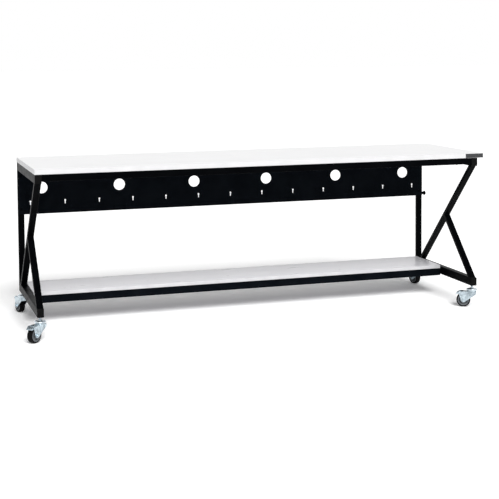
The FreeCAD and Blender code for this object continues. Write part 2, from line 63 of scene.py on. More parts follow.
class Tree:
    """A node tree with short ways to add and join nodes."""

    def __init__(self, tree):
        self.tree = tree

    def add(self, kind, **settings):
        node = self.tree.nodes.new(kind)
        for key, value in settings.items():
            setattr(node, key, value)
        return node

    def put(self, socket, value):
        """Sets a socket to a number or colour, or joins it to another socket."""
        if isinstance(value, bpy.types.NodeSocket):
            self.tree.links.new(value, socket)
        elif isinstance(value, tuple) and len(value) == 3 and socket.type == "RGBA":
            socket.default_value = (*value, 1)
        else:
            socket.default_value = value

    def span(self, value, low, high, at=(0.3, 0.7)):
        """A value mapped from one range to another, held at the ends."""
        node = self.add("ShaderNodeMapRange")
        self.put(node.inputs["Value"], value)
        for key, number in zip(("From Min", "From Max", "To Min", "To Max"), (*at, low, high)):
            self.put(node.inputs[key], number)
        return node.outputs["Result"]

    def highest(self, first, *others):
        """The highest of several values."""
        for other in others:
            node = self.add("ShaderNodeMath", operation="MAXIMUM")
            self.put(node.inputs[0], first)
            self.put(node.inputs[1], other)
            first = node.outputs[0]
        return first


class Shader(Tree):
    """A new material. Its distances are in metres and its noise scales are per metre."""

    def __init__(self, name):
        self.material = bpy.data.materials.new(name)
        self.material.use_nodes = True
        super().__init__(self.material.node_tree)
        self.tree.nodes.clear()
        self.out = self.add("ShaderNodeOutputMaterial")
        self.coords = self.add("ShaderNodeTexCoord").outputs["Object"]

    def principled(self, **inputs):
        """The surface's shader. An input's name has _ where the socket's has a space."""
        node = self.add("ShaderNodeBsdfPrincipled")
        for key, value in inputs.items():
            self.put(node.inputs[key.replace("_", " ")], value)
        self.put(self.out.inputs["Surface"], node.outputs[0])

    def stretched(self, scale):
        """Object coordinates stretched by a factor on each axis."""
        node = self.add("ShaderNodeMapping")
        self.put(node.inputs["Vector"], self.coords)
        node.inputs["Scale"].default_value = scale
        return node.outputs[0]

    def noise(self, scale, detail=3.0, roughness=0.5, coords=None):
        node = self.add("ShaderNodeTexNoise")
        self.put(node.inputs["Vector"], coords or self.coords)
        node.inputs["Scale"].default_value = scale
        node.inputs["Detail"].default_value = detail
        node.inputs["Roughness"].default_value = roughness
        return node.outputs["Fac"]

    def cells(self, scale, output="Distance"):
        node = self.add("ShaderNodeTexVoronoi")
        self.put(node.inputs["Vector"], self.coords)
        node.inputs["Scale"].default_value = scale
        return node.outputs[output]

    def ramp(self, value, low, high, at=(0.35, 0.65)):
        """Two colours blended over a range of a value."""
        node = self.add("ShaderNodeValToRGB")
        self.put(node.inputs["Fac"], value)
        for element, place, colour in zip(node.color_ramp.elements, at, (low, high)):
            element.position = place
            element.color = (*colour, 1)
        return node.outputs["Color"]

    def times(self, first, second):
        node = self.add("ShaderNodeMath", operation="MULTIPLY")
        self.put(node.inputs[0], first)
        self.put(node.inputs[1], second)
        return node.outputs[0]

    def mixed(self, factor, low, high):
        node = self.add("ShaderNodeMix", data_type="RGBA")
        self.put(node.inputs["Factor"], factor)
        self.put(node.inputs["A"], low)
        self.put(node.inputs["B"], high)
        return node.outputs["Result"]

    def bump(self, height, strength, distance, normal=None):
        node = self.add("ShaderNodeBump")
        self.put(node.inputs["Height"], height)
        node.inputs["Strength"].default_value = strength
        node.inputs["Distance"].default_value = distance
        if normal is not None:
            self.put(node.inputs["Normal"], normal)
        return node.outputs["Normal"]

    def soft_edges(self, radius):
        node = self.add("ShaderNodeBevel", samples=BEVEL_SAMPLES)
        node.inputs["Radius"].default_value = radius
        return node.outputs["Normal"]

    def edge_mask(self, radius, at):
        """1 on edges within a radius and 0 on flat faces."""
        dot = self.add("ShaderNodeVectorMath", operation="DOT_PRODUCT")
        self.put(dot.inputs[0], self.soft_edges(radius))
        self.put(dot.inputs[1], self.add("ShaderNodeNewGeometry").outputs["Normal"])
        return self.span(dot.outputs["Value"], 1.0, 0.0, at)


# The colour of the edges: paint worn thin, and also a painted highlight along the edges.
WORN_EDGE_AND_PAINTED_HIGHLIGHT = (0.035, 0.035, 0.037)


def powder_coat(name, base, light, roughness, peel):
    """Black powder coat: fine orange peel, patchy gloss, and edges made lighter, partly where the paint is rubbed
    thin and partly as a painted highlight.
    """
    s = Shader(name)
    colour = s.ramp(s.noise(9, 4), base, light)
    scuff_and_highlight_patches = s.span(s.noise(60, 5, 0.7), 0.0, 0.5, (0.5, 0.68))
    # Edges lightened in patches: partly wear, partly a painted highlight.
    rub_and_highlight = s.times(s.edge_mask(0.9 * MM, (0.75, 0.98)), scuff_and_highlight_patches)
    colour = s.mixed(rub_and_highlight, colour, WORN_EDGE_AND_PAINTED_HIGHLIGHT)
    gloss = s.span(s.noise(35, 6, 0.6), *roughness)
    normal = s.bump(s.noise(900, 2), peel, 0.15 * MM, s.soft_edges(0.6 * MM))
    s.principled(
        Base_Color=colour, Roughness=gloss, Specular_IOR_Level=0.02, Specular_Tint=(0.82, 0.9, 1.0),
        Normal=normal,
    )
    return s.material


def laminate(name, base, light, fleck, roughness, grain, specular):
    """Decor laminate: a faint cloud, fine flecks, tight pores and wiped streaks in the gloss."""
    s = Shader(name)
    cloud = s.ramp(s.noise(4, 5, 0.6), base, light, (0.3, 0.7))
    flecks = s.span(s.cells(300), 1.0, 0.0, (0.1, 0.4))
    sparse = s.span(s.noise(25, 3), 0.15, 0.6, (0.35, 0.65))
    colour = s.mixed(s.times(flecks, sparse), cloud, fleck)
    streaks = s.noise(5, 4, 0.55, s.stretched((1.0, 5.0, 1.0)))
    gloss = s.span(streaks, *roughness)
    normal = s.bump(s.noise(1400, 2, 0.6), grain, 0.1 * MM)
    s.principled(Base_Color=colour, Roughness=gloss, Specular_IOR_Level=specular, Normal=normal)
    return s.material


def edge_band(name, base, light, roughness):
    """Extruded plastic band: fine lines along its length and a soft wave in the gloss."""
    s = Shader(name)
    colour = s.ramp(s.noise(14, 4), base, light)
    lines = s.noise(220, 3, 0.5, s.stretched((0.02, 0.02, 5.0)))
    gloss = s.span(s.noise(25, 5), *roughness)
    s.principled(Base_Color=colour, Roughness=gloss, Normal=s.bump(lines, 0.12, 0.1 * MM))
    return s.material


def moulded(name, base, light, roughness, texture, specular):
    """Moulded plastic: spark-eroded texture and a cloudy tone."""
    s = Shader(name)
    colour = s.ramp(s.noise(40, 5, 0.6), base, light, (0.35, 0.75))
    gloss = s.span(s.noise(120, 4), *roughness)
    normal = s.bump(s.noise(1600, 2), texture, 0.1 * MM, s.soft_edges(0.5 * MM))
    s.principled(Base_Color=colour, Roughness=gloss, Specular_IOR_Level=specular, Normal=normal)
    return s.material


def zinc(name, edge, dull, base, light, roughness):
    """Zinc plate: bluish and faintly spangled, with draw lines, duller clouds, and painted shade that darkens its
    edges and creases.
    """
    s = Shader(name)
    spangle = s.mixed(0.3, s.noise(90, 4), s.cells(150, "Color"))
    bright = s.ramp(spangle, base, light, (0.3, 0.7))
    clouds = s.span(s.noise(34, 4, 0.6), 0.0, 0.7, (0.44, 0.62))
    colour = s.mixed(clouds, bright, dull)
    # Painted shade: every edge and crease is darkened towards the edge colour.
    colour = s.mixed(s.edge_mask(1.3 * MM, (0.8, 0.99)), colour, edge)
    lines = s.noise(500, 3, 0.6, s.stretched((1.0, 1.0, 0.08)))
    gloss = s.span(s.noise(45, 5, 0.6), *roughness)
    normal = s.bump(lines, 0.12, 0.05 * MM, s.soft_edges(0.6 * MM))
    s.principled(Base_Color=colour, Metallic=1.0, Roughness=gloss, Normal=normal)
    return s.material


def rubber(name, base, dust):
    """Black tyre rubber with floor dust in its texture."""
    s = Shader(name)
    grime = s.span(s.noise(55, 6, 0.7), 0.0, 0.5, (0.52, 0.75))
    colour = s.mixed(grime, base, dust)
    gloss = s.span(s.noise(80, 4), 0.55, 0.8)
    normal = s.bump(s.noise(700, 3, 0.6), 0.35, 0.15 * MM)
    s.principled(Base_Color=colour, Roughness=gloss, Specular_IOR_Level=0.08, Normal=normal)
    return s.material


def brushed_plate(name, base, light, roughness):
    """Anodised plate brushed along its length."""
    s = Shader(name)
    brush = s.noise(300, 4, 0.6, s.stretched((0.04, 1.0, 8.0)))
    colour = s.ramp(brush, base, light, (0.3, 0.7))
    gloss = s.span(brush, *roughness)
    normal = s.bump(brush, 0.2, 0.04 * MM, s.soft_edges(0.3 * MM))
    s.principled(Base_Color=colour, Metallic=0.6, Roughness=gloss, Normal=normal)
    return s.material


LOOKS = {
    "worktop_laminate": laminate(
        "worktop_laminate", base=(0.92, 0.92, 0.925), light=(0.95, 0.95, 0.955),
        fleck=(0.885, 0.885, 0.895), roughness=(0.36, 0.46), grain=0.15, specular=0.3,
    ),
    "worktop_edge": edge_band(
        "worktop_edge", base=(0.69, 0.69, 0.695), light=(0.74, 0.74, 0.745), roughness=(0.4, 0.55),
    ),
    "name_plate": brushed_plate(
        "name_plate", base=(0.035, 0.036, 0.038), light=(0.07, 0.072, 0.075), roughness=(0.3, 0.45),
    ),
    "frame_black": powder_coat(
        "frame_black", base=(0.0005, 0.0006, 0.0009), light=(0.0013, 0.0015, 0.0019),
        roughness=(0.32, 0.46), peel=0.35,
    ),
    "panel_black": powder_coat(
        "panel_black", base=(0.0018, 0.0026, 0.004), light=(0.0034, 0.0046, 0.0064),
        roughness=(0.4, 0.52), peel=0.3,
    ),
    "cap_plastic": moulded(
        "cap_plastic", base=(0.0018, 0.0018, 0.002), light=(0.005, 0.005, 0.005),
        roughness=(0.45, 0.6), texture=0.4, specular=0.06,
    ),
    "shelf_laminate": laminate(
        "shelf_laminate", base=(0.6, 0.595, 0.62), light=(0.63, 0.625, 0.65),
        fleck=(0.575, 0.57, 0.595), roughness=(0.27, 0.33), grain=0.08, specular=0.4,
    ),
    "shelf_edge": edge_band(
        "shelf_edge", base=(0.56, 0.56, 0.575), light=(0.63, 0.63, 0.64), roughness=(0.3, 0.45),
    ),
    # Each zinc's edge colour is painted shade on its edges and creases.
    "zinc_steel": zinc(
        "zinc_steel", edge=(0.11, 0.13, 0.15), dull=(0.2, 0.24, 0.27), base=(0.42, 0.49, 0.54),
        light=(0.64, 0.74, 0.79), roughness=(0.2, 0.38),
    ),
    # A brighter copy of the zinc for the stem and cup: painted light that makes them read lighter than the fork.
    "stem_steel_painted_light": zinc(
        "stem_steel_painted_light", edge=(0.5, 0.56, 0.6), dull=(0.4, 0.45, 0.5), base=(0.6, 0.67, 0.72),
        light=(0.8, 0.88, 0.92), roughness=(0.2, 0.38),
    ),
    "wheel_hub": moulded(
        "wheel_hub", base=(0.07, 0.08, 0.09), light=(0.19, 0.2, 0.21),
        roughness=(0.4, 0.55), texture=0.4, specular=0.35,
    ),
    "wheel_tyre": rubber("wheel_tyre", base=(0.002, 0.002, 0.0025), dust=(0.01, 0.01, 0.011)),
}


def dress(piece, look):
    """One material, and no other, on a piece."""
    piece.data.materials.clear()
    piece.data.materials.append(LOOKS[look])


for entry in frame["record"]["subparts"]:
    dress(NODES[entry["node"]], entry["material_slot"])


# -------------------------------------------------------------------- mesh building
SMOOTH_ANGLE = 38
# A weld bead: the distance between its rings, the length and depth of its ripples, and the share
# of its size to which it thins at its ends, along a curve of an even power.
BEAD_STEP = 0.7
BEAD_LEAST_RINGS = 8
BEAD_RIPPLE = 2.6
RIPPLE_DEPTH = 0.12
BEAD_END = 0.25
BEAD_END_POWER = 10


class Form:
    """A mesh in the making. Each shape is closed, and is added at a place in millimetres."""

    def __init__(self):
        self.points = []
        self.faces = []

    def add(self, points, faces, place):
        first = len(self.points)
        self.points.extend(place @ Vector(point) for point in points)
        self.faces.extend(tuple(first + index for index in face) for face in faces)

    def lathe(self, profile, place, sides):
        """A shape turned about Z from (radius, height) points, or a ring if none is on the axis.

        A point's third number gives the flats of a polygon whose corners have that radius.
        """
        points, faces, rings = [], [], []
        for radius, height, *flats in profile:
            if radius == 0:
                rings.append([len(points)] * sides)
                points.append((0, 0, height))
                continue
            rings.append([len(points) + step for step in range(sides)])
            for step in range(sides):
                turn = 2 * math.pi * step / sides
                reach = radius
                if flats:
                    half = math.pi / flats[0]
                    reach = radius * math.cos(half) / math.cos(turn % (2 * half) - half)
                points.append((reach * math.cos(turn), reach * math.sin(turn), height))
        pairs = list(zip(rings, rings[1:]))
        if profile[0][0] > 0:
            pairs.append((rings[-1], rings[0]))
        for low, high in pairs:
            for step in range(sides):
                after = (step + 1) % sides
                face = tuple(dict.fromkeys((low[step], low[after], high[after], high[step])))
                faces.append(face)
        self.add(points, faces, place)

    def loft(self, outlines, place):
        """Outlines of (x, y) points at heights, skinned together and closed at both ends."""
        count = len(outlines[0][0])
        points = [(x, y, height) for outline, height in outlines for x, y in outline]
        faces = [tuple(range(count)), tuple(range(len(points) - count, len(points)))]
        for start in range(0, len(points) - count, count):
            for step in range(count):
                after = (step + 1) % count
                low, high = start, start + count
                faces.append((low + step, low + after, high + after, high + step))
        self.add(points, faces, place)

    def bead(self, start, end, across, out, section):
        """A rippled weld from start to end, thinner at its ends, with a section of (across, out)."""
        run = end - start
        rings = max(BEAD_LEAST_RINGS, round(run.length / BEAD_STEP))
        count = len(section)
        points = []
        for ring in range(rings + 1):
            along = ring / rings
            wave = abs(math.sin(math.pi * along * run.length / BEAD_RIPPLE))
            ripple = 1 - RIPPLE_DEPTH * (1 - wave)
            taper = max(BEAD_END, 1 - (2 * along - 1) ** BEAD_END_POWER)
            for u, v in section:
                points.append(start + run * along + (across * u + out * v) * ripple * taper)
        faces = [tuple(range(count)), tuple(range(len(points) - count, len(points)))]
        for ring in range(rings):
            for step in range(count):
                low, after = ring * count, (step + 1) % count
                faces.append((low + step, low + after, low + count + after, low + count + step))
        self.add(points, faces, Matrix.Identity(4))

    def done(self, name, body, slot, replaced=None, look=None):
        """The finished object, riding on its body and dressed in its slot's material or its own."""
        mesh = bpy.data.meshes.new(name)
        mesh.from_pydata([point * MM for point in self.points], [], self.faces)
        work = bmesh.new()
        work.from_mesh(mesh)
        bmesh.ops.recalc_face_normals(work, faces=work.faces)
        work.to_mesh(mesh)
        work.free()
        mesh.polygons.foreach_set("use_smooth", [True] * len(mesh.polygons))
        mesh.set_sharp_from_angle(angle=math.radians(SMOOTH_ANGLE))
        piece = bpy.data.objects.new(name, mesh)
        bpy.context.scene.collection.objects.link(piece)
        dress(piece, look or slot)
        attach(piece, body)
        if replaced:
            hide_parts(replaced)


def facing(origin, out, up=Z):
    """A place whose Z points outwards and whose Y points up as nearly as it can."""
    side = up.cross(out).normalized()
    turn = Matrix((side, out.cross(side), out)).transposed().to_4x4()
    return Matrix.Translation(Vector(origin)) @ turn


def rounded(width, height, radius, steps=5):
    """The outline of a rectangle with round corners, as (x, y) points."""
    outline = []
    for quarter, (sx, sy) in enumerate(((1, 1), (-1, 1), (-1, -1), (1, -1))):
        for step in range(steps + 1):
            turn = (quarter + step / steps) * math.pi / 2
            x = sx * (width / 2 - radius) + radius * math.cos(turn)
            y = sy * (height / 2 - radius) + radius * math.sin(turn)
            outline.append((x, y))
    return outline


def stepped(width, height, levels, corner_steps=5):
    """Outlines for Form.loft, from how far in each is, its corner radius and its level."""
    return [
        (rounded(width - 2 * inset, height - 2 * inset, corner, corner_steps), level)
        for inset, corner, level in levels
    ]


def arc(centre, radius, start, end, steps):
    """Points on an arc about a centre, from one angle to another in degrees."""
    points = []
    for step in range(steps + 1):
        turn = math.radians(start + (end - start) * step / steps)
        points.append((centre[0] + radius * math.cos(turn), centre[1] + radius * math.sin(turn)))
    return points


def corners_of(node):
    """A node's lowest and highest corners in millimetres."""
    low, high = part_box(node)
    return low / MM, high / MM


# ------------------------------------------------------------------------ fasteners
# A washer, a domed head and a hexagon socket.
BUTTON_HEAD = [
    (0, 0), (7.0, 0), (7.0, 0.5), *arc((2.7, 0.5), 2.9, 0, 95, 6),
    (2.3, 3.2, 6), (2.3, 1.6, 6), (0, 1.4),
]
# A pan head with a square recess.
SCREW_HEAD = [
    (0, 0), (4.2, 0), *arc((1.8, -0.3), 2.4, 20, 90, 4), (1.4, 2.1), (1.2, 1.0, 4), (0, 0.7),
]
FASTENER_SIDES = 24


def fasten(name, slot, profile, places):
    """Fasteners of one kind in one object: each place is a seat and its outward direction."""
    form = Form()
    for seat, out in places:
        up = Z if abs(out.z) < 0.5 else Y
        form.lathe(profile, facing(seat, out, up), FASTENER_SIDES)
    form.done(name, "bench", slot)


def spread(low, high, count):
    """Evenly spaced numbers from the lowest to the highest."""
    return [low + (high - low) * step / (count - 1) for step in range(count)]


panel_low, panel_high = corners_of("rear_panel")
plate_low, plate_high = corners_of("front_rail_right_plate")
apron_low, apron_high = corners_of("shelf_apron")
beam_low, beam_high = corners_of("shelf_rear_beam")
ledge_low, ledge_high = corners_of("right_shelf_ledge")
rail_low, rail_high = corners_of("front_rail")
RAIL_MID_X = sum(corner.x for corner in corners_of("right_top_rail")) / 2
SHEET = 2.5
PANEL_SHEET = 1.5
TAB_MID_Z = (ledge_low.z + ledge_high.z - SHEET) / 2

# How far bolts and screws sit from an edge of their piece, how many screws are in a row, and how
# far a row reaches to each side of the table's middle.
EAR_BOLT_LOW = 28
EAR_BOLT_HIGH = 75
PLATE_BOLTS = (14, 36)
APRON_BOLT = 14
BEAM_BOLT = 12
LEDGE_BOLT = 50
LEDGE_SCREW = 30
LEDGE_SCREW_IN = 10
LEDGE_SCREWS = 3
RAIL_SCREW = 10
PANEL_SCREW = 8
WORKTOP_SCREWS = 7
WORKTOP_SCREW_REACH = 1080
SHELF_SCREW = 9
SHELF_SCREWS = 6
SHELF_SCREW_REACH = 1050

for name, side in SIDES.items():
    ear_z = (panel_low.z + EAR_BOLT_LOW, panel_high.z - EAR_BOLT_HIGH)
    ears = [((side * RAIL_MID_X, panel_low.y, z), -Y) for z in ear_z]
    fasten(name + "_panel_bolts", "frame_black", BUTTON_HEAD, ears)

    plate_x = side * plate_low.x
    plate_z = (plate_low.z + plate_high.z) / 2
    plates = [((plate_x, plate_high.y - inset, plate_z), -side * X) for inset in PLATE_BOLTS]
    fasten(name + "_front_rail_bolts", "frame_black", BUTTON_HEAD, plates)

    tab_x = side * (ledge_high.x - SHEET)
    tab_y = (
        apron_low.y + APRON_BOLT, ledge_low.y + LEDGE_BOLT,
        ledge_high.y - LEDGE_BOLT, beam_high.y - BEAM_BOLT,
    )
    tabs = [((tab_x, y, TAB_MID_Z), -side * X) for y in tab_y]
    fasten(name + "_shelf_bolts", "frame_black", BUTTON_HEAD, tabs)

    flange_x = side * (ledge_low.x + LEDGE_SCREW_IN)
    flange_y = spread(ledge_low.y + LEDGE_SCREW, ledge_high.y - LEDGE_SCREW, LEDGE_SCREWS)
    flange = [((flange_x, y, ledge_high.z - SHEET), -Z) for y in flange_y]
    fasten(name + "_ledge_screws", "zinc_steel", SCREW_HEAD, flange)

screw_rows = (
    (rail_high.y - RAIL_SCREW, rail_low.z),
    (panel_high.y - PANEL_SCREW, panel_high.z - PANEL_SHEET),
)
screw_x = spread(-WORKTOP_SCREW_REACH, WORKTOP_SCREW_REACH, WORKTOP_SCREWS)
worktop_screws = [((x, y, z), -Z) for y, z in screw_rows for x in screw_x]
fasten("worktop_screws", "frame_black", SCREW_HEAD, worktop_screws)

screw_rows = (
    (apron_high.y - SHELF_SCREW, apron_high.z - SHEET),
    (beam_low.y + SHELF_SCREW, beam_high.z - SHEET),
)
screw_x = spread(-SHELF_SCREW_REACH, SHELF_SCREW_REACH, SHELF_SCREWS)
shelf_screws = [((x, y, z), -Z) for y, z in screw_rows for x in screw_x]
fasten("shelf_screws", "zinc_steel", SCREW_HEAD, shelf_screws)


# ----------------------------------------------------------------------- weld beads
# Sections of a bead: a fillet in a corner, and the low crown of a ground butt weld.
FILLET_LEG = 3.3
FILLET_ROOT = -0.5
FILLET = [
    (FILLET_ROOT, FILLET_ROOT), (FILLET_LEG, FILLET_ROOT), *arc((0, 0), FILLET_LEG, 0, 90, 5),
    (FILLET_ROOT, FILLET_LEG),
]
SEAM_HALF = 3.2
SEAM_ROOT = -3.0
SEAM = [(-SEAM_HALF, SEAM_ROOT), *arc((0, -5.4), 5.8, 121, 59, 4), (SEAM_HALF, SEAM_ROOT)]


def in_frame(y, z):
    """A place or a direction in the middle plane of an end frame, which is seen from the side."""
    return Vector((0, y, z))


# Posts and braces are WEB_DEPTH deep, with corners of radius WEB_CORNER. The long brace runs from
# TIP_Y under the top rail back to HEEL_Y on the bottom rail.
WEB_DEPTH = 20.0
WEB_CORNER = 2.5
POST_FRONT_Y = panel_low.y + PANEL_SHEET
bottom_high = corners_of("right_bottom_rail")[1]
top_low = corners_of("right_top_rail")[0]
long_low, long_high = corners_of("right_long_brace")
LOW_Z, HIGH_Z = bottom_high.z, top_low.z
TIP_Y, HEEL_Y = long_low.y, long_high.y
RISE, RUN = HIGH_Z - LOW_Z, HEEL_Y - TIP_Y
SLOPE = math.atan2(RISE, RUN) + math.asin(WEB_DEPTH / math.hypot(RISE, RUN))
FOOTPRINT = WEB_DEPTH / math.sin(SLOPE)
HALF_TUBE = (bottom_high.x - plate_high.x) / 2
LONG_DOWN = in_frame(math.cos(SLOPE), -math.sin(SLOPE))
SHORT_DOWN = in_frame(-math.cos(SLOPE), -math.sin(SLOPE))
LONG_FRONT = in_frame(-math.sin(SLOPE), -math.cos(SLOPE))
MITRE = in_frame(TIP_Y + RUN / 2, LOW_Z + RISE / 2) + LONG_FRONT * WEB_DEPTH / 2
MITRE_TOP = MITRE - LONG_DOWN * WEB_DEPTH / 2
MITRE_LOW = MITRE + LONG_DOWN * WEB_DEPTH / 2

# Corners to fill: where each is, and the directions in which its two faces run away.
CORNERS = [
    (in_frame(POST_FRONT_Y, LOW_Z), -Y, Z),
    (in_frame(TIP_Y, HIGH_Z), -Y, LONG_DOWN),
    (in_frame(TIP_Y + FOOTPRINT, HIGH_Z), Y, LONG_DOWN),
    (in_frame(HEEL_Y - FOOTPRINT, LOW_Z), -Y, -LONG_DOWN),
    (in_frame(HEEL_Y, LOW_Z), Y, -LONG_DOWN),
    (in_frame(TIP_Y, LOW_Z), -Y, -SHORT_DOWN),
    (in_frame(TIP_Y + FOOTPRINT, LOW_Z), Y, -SHORT_DOWN),
    (MITRE_TOP, -LONG_DOWN, SHORT_DOWN),
    (MITRE_LOW, LONG_DOWN, SHORT_DOWN),
]
# Seams on the flat sides: where each starts and ends, and the direction across it.
SEAMS = [
    (in_frame(POST_FRONT_Y, LOW_Z), in_frame(POST_FRONT_Y + WEB_DEPTH, LOW_Z), Z),
    (in_frame(POST_FRONT_Y, HIGH_Z), in_frame(POST_FRONT_Y + WEB_DEPTH, HIGH_Z), Z),
    (in_frame(TIP_Y, HIGH_Z), in_frame(TIP_Y + FOOTPRINT, HIGH_Z), Z),
    (in_frame(HEEL_Y - FOOTPRINT, LOW_Z), in_frame(HEEL_Y, LOW_Z), Z),
    (in_frame(TIP_Y, LOW_Z), in_frame(TIP_Y + FOOTPRINT, LOW_Z), Z),
    (MITRE_TOP, MITRE_LOW, SHORT_DOWN),
]

for name, side in SIDES.items():
    middle = X * side * RAIL_MID_X
    half = X * (HALF_TUBE - WEB_CORNER)
    welds = Form()
    for corner, across, out in CORNERS:
        welds.bead(middle + corner - half, middle + corner + half, across, out, FILLET)
    for start, end, across in SEAMS:
        inset = (end - start).normalized() * WEB_CORNER
        for face in (-1, 1):
            shift = middle + X * face * HALF_TUBE
            welds.bead(shift + start + inset, shift + end - inset, across, X * face, SEAM)
    welds.done(name + "_frame_welds", "bench", "frame_black")

    welds = Form()
    foot = Vector((side * plate_low.x, rail_high.y, rail_low.z + WEB_CORNER))
    head = Vector((side * plate_low.x, rail_high.y, rail_high.z - WEB_CORNER))
    welds.bead(foot, head, -side * X, Y, FILLET)
    welds.done(name + "_front_rail_weld", "bench", "frame_black")


# ------------------------------------------------------------------ caps and plate
# Each level of these is how far in it is, its corner radius and its height.
CAP_THICKNESS = 2.0
CAP_PLUG = 8.0
CAP_CORNER = 3.0
PLUG_CORNER = 1.5
PLUG_INSET = 2.2
# From the plug's end to the domed face.
CAP_LEVELS = [
    (PLUG_INSET, PLUG_CORNER, -CAP_PLUG), (PLUG_INSET, PLUG_CORNER, 0), (0.05, CAP_CORNER, 0),
    (0.05, CAP_CORNER, 0.9), (0.4, CAP_CORNER, 1.5), (1.1, CAP_CORNER, 1.8),
    (4.0, CAP_CORNER, 1.95), (9.0, CAP_CORNER, CAP_THICKNESS),
]
# From the back over a raised rim to the face.
PLATE_LEVELS = [
    (0.1, 1.6, 0), (0.1, 1.6, 0.55), (0.25, 1.45, 0.85),
    (0.6, 1.1, 0.98), (1.3, 0.5, 0.98), (1.6, 0.5, 0.7),
]

for name in SIDES:
    caps = Form()
    low, high = corners_of(name + "_rail_end_caps")
    mid_x = (low.x + high.x) / 2
    for rail in ("_top_rail", "_bottom_rail"):
        rail_foot, rail_head = corners_of(name + rail)
        mid_z = (rail_foot.z + rail_head.z) / 2
        levels = stepped(high.x - low.x, rail_head.z - rail_foot.z, CAP_LEVELS)
        caps.loft(levels, facing((mid_x, low.y + CAP_THICKNESS, mid_z), -Y))
        caps.loft(levels, facing((mid_x, high.y - CAP_THICKNESS, mid_z), Y))
    caps.done(name + "_moulded_caps", "bench", "cap_plastic", name + "_rail_end_caps")

low, high = corners_of("name_plate")
plate = Form()
plate_back = ((low.x + high.x) / 2, high.y, (low.z + high.z) / 2)
plate.loft(stepped(high.x - low.x, high.z - low.z, PLATE_LEVELS), facing(plate_back, -Y))
plate.done("blank_plate", "bench", "name_plate", "name_plate")


# --------------------------------------------------------------------------- casters
# Profiles are (radius, height) points: round the axle from the wheel's middle plane, and round
# the stem from the floor.
WHEEL_RADIUS = 38.1
CROWN_RADIUS = 125.0
# From the bore over the bead and the shoulder, along the tread's crown to its middle.
TYRE_HALF = [
    (27.12, -12.6), (30.6, -12.8), *arc((33.0, -13.4), 2.4, 180, 262, 4),
    *arc((33.0, -11.2), 4.6, 270, 355, 6),
    *arc((WHEEL_RADIUS - CROWN_RADIUS, 0), CROWN_RADIUS, -4.6, -1, 3),
]
TYRE = TYRE_HALF + [(WHEEL_RADIUS, 0)] + [(radius, -height) for radius, height in reversed(TYRE_HALF)]
TYRE_SIDES = 72

# From the bore over the boss and the dished web to the rim.
HUB_HALF = [
    (4.05, -16.5), (7.2, -16.5), (7.6, -15.9), (9.6, -15.9), (10.2, -16.5), (10.8, -16.3),
    (11.4, -15.4), (12.2, -6.0), (13.0, -5.0), (22.0, -5.0), (22.8, -6.0), (23.6, -14.0),
    (24.2, -14.8), (30.2, -14.8), (30.9, -14.3), (30.9, -13.0), (27.1, -12.7),
]
HUB = HUB_HALF + [(radius, -height) for radius, height in reversed(HUB_HALF)]
HUB_SIDES = 48
RIB_COUNT = 6
RIB_LENGTH = 12.6
RIB_MID_RADIUS = 17.4
# A rib's width, its corner radius and the height, from inside the web outwards.
RIB_LEVELS = [(2.6, 0.5, 4.5), (2.6, 0.5, 9.5), (1.7, 0.4, 12.2)]
RIB_CORNER_STEPS = 2

# From the bolt's head over its washers to the nut and the bolt's end.
AXLE_BOLT = [
    (0, -26.6), (5.4, -26.6), (6.6, -26.2), (7.5, -25.4, 6), (7.5, -22.2, 6), (9.6, -22.1),
    (10.0, -21.8), (10.0, -20.5), (4.0, -20.5), (4.0, 20.5), (10.0, 20.5), (10.0, 21.8),
    (9.6, 22.1), (7.5, 22.2, 6), (7.5, 26.0, 6), (6.6, 26.8), (4.0, 26.9), (4.0, 28.4),
    (3.4, 29.0), (0, 29.0),
]
AXLE_SIDES = 24

# The swivel's cup: a rolled edge, a domed top and a locking ring round the stem.
CUP = [
    (6.2, 93.1), *arc((27.0, 95.1), 2.0, 270, 360, 5), *arc((25.2, 97.6), 3.8, 0, 70, 5),
    (17.0, 102.7), (12.2, 103.0), *arc((9.0, 104.4), 1.6, 0, 90, 4), (6.2, 106.0),
]
CUP_SIDES = 56
THREAD_START = 106.2
THREAD_TURNS = 16
THREAD_PITCH = 1.75
THREAD_FLANK = 0.55
THREAD_CREST = 0.3
ROOT_RADIUS = 5.3
CREST_RADIUS = 5.98
THREAD = []
for turn in range(THREAD_TURNS):
    root = THREAD_START + turn * THREAD_PITCH
    crest = root + THREAD_FLANK
    THREAD += [
        (ROOT_RADIUS, root), (CREST_RADIUS, crest),
        (CREST_RADIUS, crest + THREAD_CREST), (ROOT_RADIUS, crest + THREAD_CREST + THREAD_FLANK),
    ]
# From the kingpin's head under the fork's crown up to the stem's tip.
STEM = [
    (0, 80.9), (3.5, 81.0), (6.2, 81.4), (8.2, 82.2), (9.0, 83.1), (9.0, 83.9), (6.0, 83.9),
    (6.0, 106.0), *THREAD, (ROOT_RADIUS, 134.4), (4.6, 135.0), (0, 135.0),
]
STEM_SIDES = 28

# The heads on the ends of the pedal's pin, on the fork's outer faces.
RIVET = [(0, 0), (4.8, 0), *arc((0, -6.43), 8.43, 55.3, 83, 4), (0, 2.0)]
RIVET_SIDES = 24
FORK_HALF = 20.5

# The pedal's upper face, seen along its pin: where the pad starts, and its run to the toe.
PAD_START = Vector((68.4, 0, 83.85))
PAD_RUN = Vector((0.8401, 0, -0.5423))
PAD_LENGTH = 16.4
PAD_WIDTH = 33.6
# Levels as for the caps, with heights from the pedal's face.
PAD_LEVELS = [(0, 2.0, -0.05), (0, 2.0, 1.1), (0.4, 1.7, 1.5)]
PAD_RIBS = 6
PAD_RIB_WIDTH = 1.3
PAD_RIB_LEVELS = [(0, 0.6, 1.2), (0.2, 0.4, 2.3)]
PAD_RIB_CORNER_STEPS = 3
# How far the ribs stay from the pad's sides, and the middle of the outer ribs from its ends.
PAD_RIB_SIDE = 2.0
PAD_RIB_END = 2.4


def turned(name, body, slot, replaced, place, shapes, look=None):
    """A lathed piece in place of its CAD node, from profiles with their numbers of sides."""
    form = Form()
    for profile, sides in shapes:
        form.lathe(profile, place, sides)
    form.done(name, body, slot, replaced, look)


